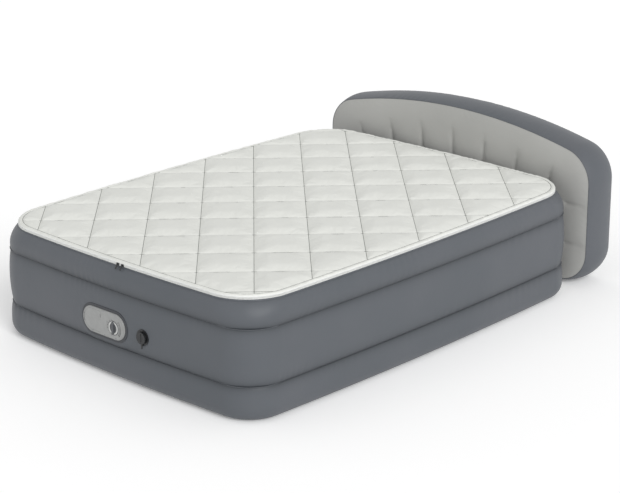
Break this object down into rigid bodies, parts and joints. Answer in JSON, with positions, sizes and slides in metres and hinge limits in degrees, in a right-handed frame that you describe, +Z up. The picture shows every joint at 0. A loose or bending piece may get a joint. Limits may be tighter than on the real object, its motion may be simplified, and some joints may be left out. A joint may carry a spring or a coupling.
{
  "type": "raised air mattress",
  "caption": "Raised inflatable bed with grooved dark side walls, a zip-off pale quilted top pad, an arched inflatable headboard, a recessed pump with a cord door, and a hand valve.",
  "frame": {"origin": "on the floor at the centre of the whole object's box", "axes": "+Z up, +Y from the foot wall with the pump to the headboard, X across the bed"},
  "size_m": [1.5196, 2.2414, 0.7018],
  "materials": {
    "side_film": "satin",
    "board_film": "satin",
    "flocked_film": "flocked",
    "inner_film": "satin",
    "quilt_fabric": "woven",
    "quilt_fill": "fibre",
    "zip_tape": "woven",
    "zip_coil": "satin",
    "zip_metal": "satin",
    "ring_plastic": "satin",
    "pump_plastic": "fine grain",
    "dial_plastic": "fine grain",
    "housing_plastic": "satin",
    "motor_case": "satin",
    "steel": "satin",
    "rubber": "matte",
    "valve_plastic": "satin"
  },
  "bodies": {
    "bed": {"base_sheet": "side_film", "lower_side_band": "side_film", "middle_side_band": "side_film", "upper_side_band": "side_film", "top_sheet": "flocked_film", "lower_girdle": "inner_film", "upper_girdle": "inner_film", "inner_beams": "inner_film", "zip_lower_tape": "zip_tape", "zip_lower_coil": "zip_coil", "headboard_side_band": "side_film", "headboard_front_panel": "board_film", "headboard_back_panel": "side_film", "headboard_webs": "inner_film", "headboard_air_neck": "side_film", "headboard_link_strip": "side_film", "pump_mounting_ring": "ring_plastic", "pump_faceplate": "pump_plastic", "pump_housing": "housing_plastic", "cord_door_pin": "steel", "pump_screws": "steel", "cord_gland": "rubber", "diverter_seat": "housing_plastic", "blower_volute": "housing_plastic", "motor_bracket": "housing_plastic", "blower_motor": "motor_case", "outlet_valve_spring": "steel", "valve_flange": "valve_plastic", "valve_body": "valve_plastic", "valve_flap": "rubber"},
    "pad": {"pad_backing": "quilt_fabric", "pad_fill": "quilt_fill", "pad_top_cover": "quilt_fabric", "pad_edge_binding": "quilt_fabric", "zip_upper_tape": "zip_tape", "zip_upper_coil": "zip_coil"},
    "slider_left": {"zip_slider_left": "zip_metal"},
    "slider_right": {"zip_slider_right": "zip_metal"},
    "pull_left": {"zip_pull_left": "zip_metal"},
    "pull_right": {"zip_pull_right": "zip_metal"},
    "door": {"cord_door": "pump_plastic"},
    "dial": {"pump_dial": "dial_plastic", "diverter_drum": "housing_plastic"},
    "rotor": {"motor_shaft": "steel", "blower_impeller": "housing_plastic"},
    "outlet_valve": {"outlet_valve_disc": "rubber"},
    "cap_carrier": {"valve_cap_strap": "valve_plastic"},
    "cap": {"valve_cap": "valve_plastic"}
  },
  "joints": [
    {"name": "pad_lift", "type": "slide", "parent": "bed", "child": "pad", "axis": [0, 0, 1], "range_m": [0, 0.25]},
    {"name": "slider_left_travel", "type": "hinge", "parent": "bed", "child": "slider_left", "pos_m": [0, 9.26594, 0.46], "axis": [0, 0, 1], "range_deg": [-3.33, 0]},
    {"name": "slider_right_travel", "type": "hinge", "parent": "bed", "child": "slider_right", "pos_m": [0, 9.26594, 0.46], "axis": [0, 0, 1], "range_deg": [0, 2.84]},
    {"name": "pull_left_swing", "type": "hinge", "parent": "slider_left", "child": "pull_left", "pos_m": [0.032, -1.0857, 0.474], "axis": [-1, -0.0031, 0], "range_deg": [0, 120]},
    {"name": "pull_right_swing", "type": "hinge", "parent": "slider_right", "child": "pull_right", "pos_m": [0.058, -1.08559, 0.474], "axis": [-1, -0.0056, 0], "range_deg": [0, 120]},
    {"name": "cord_door_hinge", "type": "hinge", "parent": "bed", "child": "door", "pos_m": [-0.1395, -1.11175, 0.229], "axis": [0, 0, -1], "range_deg": [0, 100]},
    {"name": "dial_turn", "type": "hinge", "parent": "bed", "child": "dial", "pos_m": [0.028, -1.10775, 0.223], "axis": [0, -1, 0], "range_deg": [-60, 60]},
    {"name": "rotor_spin", "type": "hinge", "parent": "bed", "child": "rotor", "pos_m": [0.022, -1.05775, 0.229], "axis": [0, -1, 0], "continuous": true},
    {"name": "outlet_valve_lift", "type": "slide", "parent": "bed", "child": "outlet_valve", "axis": [0, 1, 0], "range_m": [0, 0.008], "stiffness_N_per_m": 60, "springref_m": -0.004, "deforming": ["outlet_valve_spring"]},
    {"name": "cap_travel", "type": "slide", "parent": "bed", "child": "cap_carrier", "axis": [0, -1, 0], "range_m": [0, 0.006]},
    {"name": "cap_turn", "type": "hinge", "parent": "cap_carrier", "child": "cap", "pos_m": [0.187, -1.10775, 0.225], "axis": [0, -1, 0], "range_deg": [0, 540]}
  ],
  "couplings": [
    {"joint": "cap_travel", "follows": "cap_turn", "m_per_rad": 0.00063662}
  ]
}
